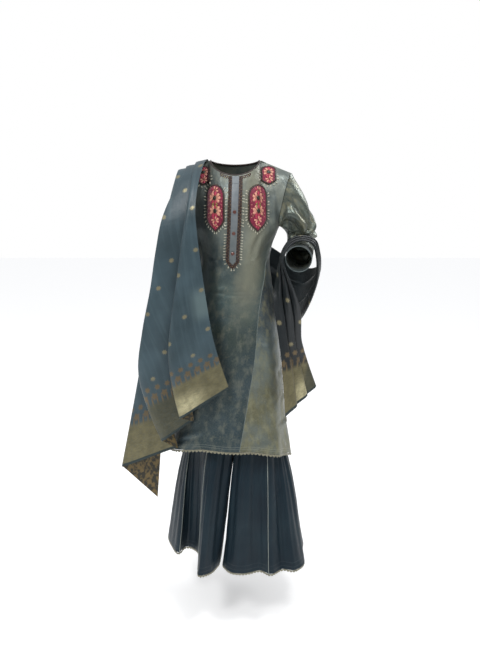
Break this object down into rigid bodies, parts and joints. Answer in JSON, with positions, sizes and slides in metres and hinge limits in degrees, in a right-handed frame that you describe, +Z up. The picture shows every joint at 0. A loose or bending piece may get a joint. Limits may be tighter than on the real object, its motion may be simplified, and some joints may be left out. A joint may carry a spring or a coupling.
{
  "type": "sharara suit",
  "caption": "Woman's brocade tunic over wide-legged trousers with a long pleated scarf, in the form it takes when worn.",
  "frame": {"origin": "on the shoulder line, level with the sides of the neck, at the middle of the neck opening", "axes": "+Z up the body, +X towards the wearer's left, -Y towards the front"},
  "size_m": [0.6498, 0.4293, 1.3428],
  "materials": {
    "kurta_cloth": "satin",
    "gold_brocade": "satin",
    "sharara_cloth": "satin",
    "dupatta_cloth": "satin",
    "cream_trim": "satin",
    "dark_beadwork": "satin",
    "pink_patch": "satin",
    "button_bead": "satin"
  },
  "bodies": {
    "root": {"kurta_front": "kurta_cloth", "kurta_back": "kurta_cloth", "kurta_side_panel_right": "kurta_cloth", "kurta_side_panel_left": "gold_brocade", "hem_lace_front": "cream_trim", "hem_lace_back": "cream_trim", "neck_binding": "dark_beadwork", "bust_patch_right": "pink_patch", "bust_patch_left": "pink_patch", "shoulder_patch_right": "pink_patch", "shoulder_patch_left": "pink_patch", "placket": "kurta_cloth", "placket_edging": "dark_beadwork", "button_1": "button_bead", "button_2": "button_bead", "button_3": "button_bead", "sleeve_left": "kurta_cloth", "sleeve_right": "kurta_cloth", "sharara_waistband": "sharara_cloth", "dupatta_front_fall": "dupatta_cloth", "dupatta_behind": "dupatta_cloth", "dupatta_arm_fall": "dupatta_cloth", "sharara_left_front": "sharara_cloth", "sharara_left_front_side": "sharara_cloth", "sharara_left_back_side": "sharara_cloth", "sharara_left_back": "sharara_cloth", "sharara_left_inner": "sharara_cloth", "sharara_left_hem_lace": "cream_trim", "sharara_left_piping_front": "cream_trim", "sharara_left_piping_side": "cream_trim", "sharara_left_piping_back": "cream_trim", "sharara_right_front": "sharara_cloth", "sharara_right_front_side": "sharara_cloth", "sharara_right_back_side": "sharara_cloth", "sharara_right_back": "sharara_cloth", "sharara_right_inner": "sharara_cloth", "sharara_right_hem_lace": "cream_trim", "sharara_right_piping_front": "cream_trim", "sharara_right_piping_side": "cream_trim", "sharara_right_piping_back": "cream_trim"}
  },
  "joints": []
}
